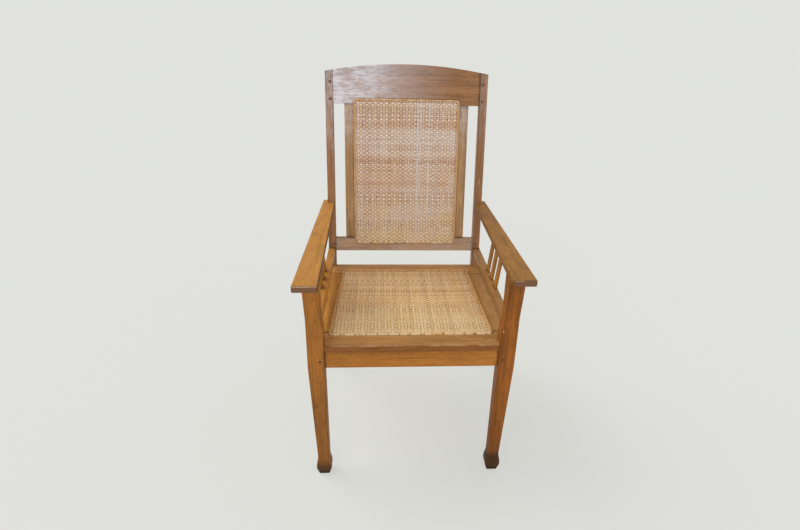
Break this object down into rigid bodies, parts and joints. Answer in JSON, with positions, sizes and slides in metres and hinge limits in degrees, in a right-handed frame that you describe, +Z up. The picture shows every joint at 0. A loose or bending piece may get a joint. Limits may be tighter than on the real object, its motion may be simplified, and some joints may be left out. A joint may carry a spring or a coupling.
{
  "type": "planters armchair",
  "caption": "Caned planters armchair with a raked back, flat arms on tapered block-footed legs, and low side rails with slats.",
  "frame": {"origin": "on the floor, under the middle of the chair's overall width and depth", "axes": "+X to the sitter's left, which is the viewer's right from the front; -Y to the front; +Z up"},
  "size_m": [0.573, 0.707, 1.0844],
  "materials": {
    "leg_teak": "oiled, satin, reddish brown",
    "seat_teak": "oiled, satin, honey brown",
    "arm_teak": "oiled, satin, honey brown",
    "back_teak": "worn, greyed brown",
    "peg_wood": "dark end grain",
    "plug_wood": "pale end grain",
    "woven_cane": "close-woven cane, matt",
    "reed": "golden reed, satin"
  },
  "bodies": {
    "root": {"front_leg_right": "leg_teak", "rear_post_right": "back_teak", "side_seat_rail_right": "leg_teak", "front_rail_peg_right": "peg_wood", "seat_frame_side_right": "seat_teak", "arm_right": "arm_teak", "low_side_rail_right": "arm_teak", "side_slat_1_right": "arm_teak", "side_slat_2_right": "arm_teak", "side_slat_3_right": "arm_teak", "back_stile_right": "back_teak", "crest_peg_lower_right": "peg_wood", "crest_peg_upper_right": "peg_wood", "lower_rail_peg_right": "peg_wood", "front_leg_left": "leg_teak", "rear_post_left": "back_teak", "side_seat_rail_left": "leg_teak", "front_rail_peg_left": "peg_wood", "seat_frame_side_left": "seat_teak", "arm_left": "arm_teak", "low_side_rail_left": "arm_teak", "side_slat_1_left": "arm_teak", "side_slat_2_left": "arm_teak", "side_slat_3_left": "arm_teak", "back_stile_left": "back_teak", "crest_peg_lower_left": "peg_wood", "crest_peg_upper_left": "peg_wood", "lower_rail_peg_left": "peg_wood", "leg_plug_right": "plug_wood", "front_seat_rail": "leg_teak", "rear_seat_rail": "leg_teak", "seat_frame_front": "seat_teak", "seat_frame_rear": "seat_teak", "seat_cane": "woven_cane", "seat_spline": "reed", "crest_rail": "back_teak", "lower_back_rail": "back_teak", "back_cane": "woven_cane", "back_spline": "reed"}
  },
  "joints": []
}
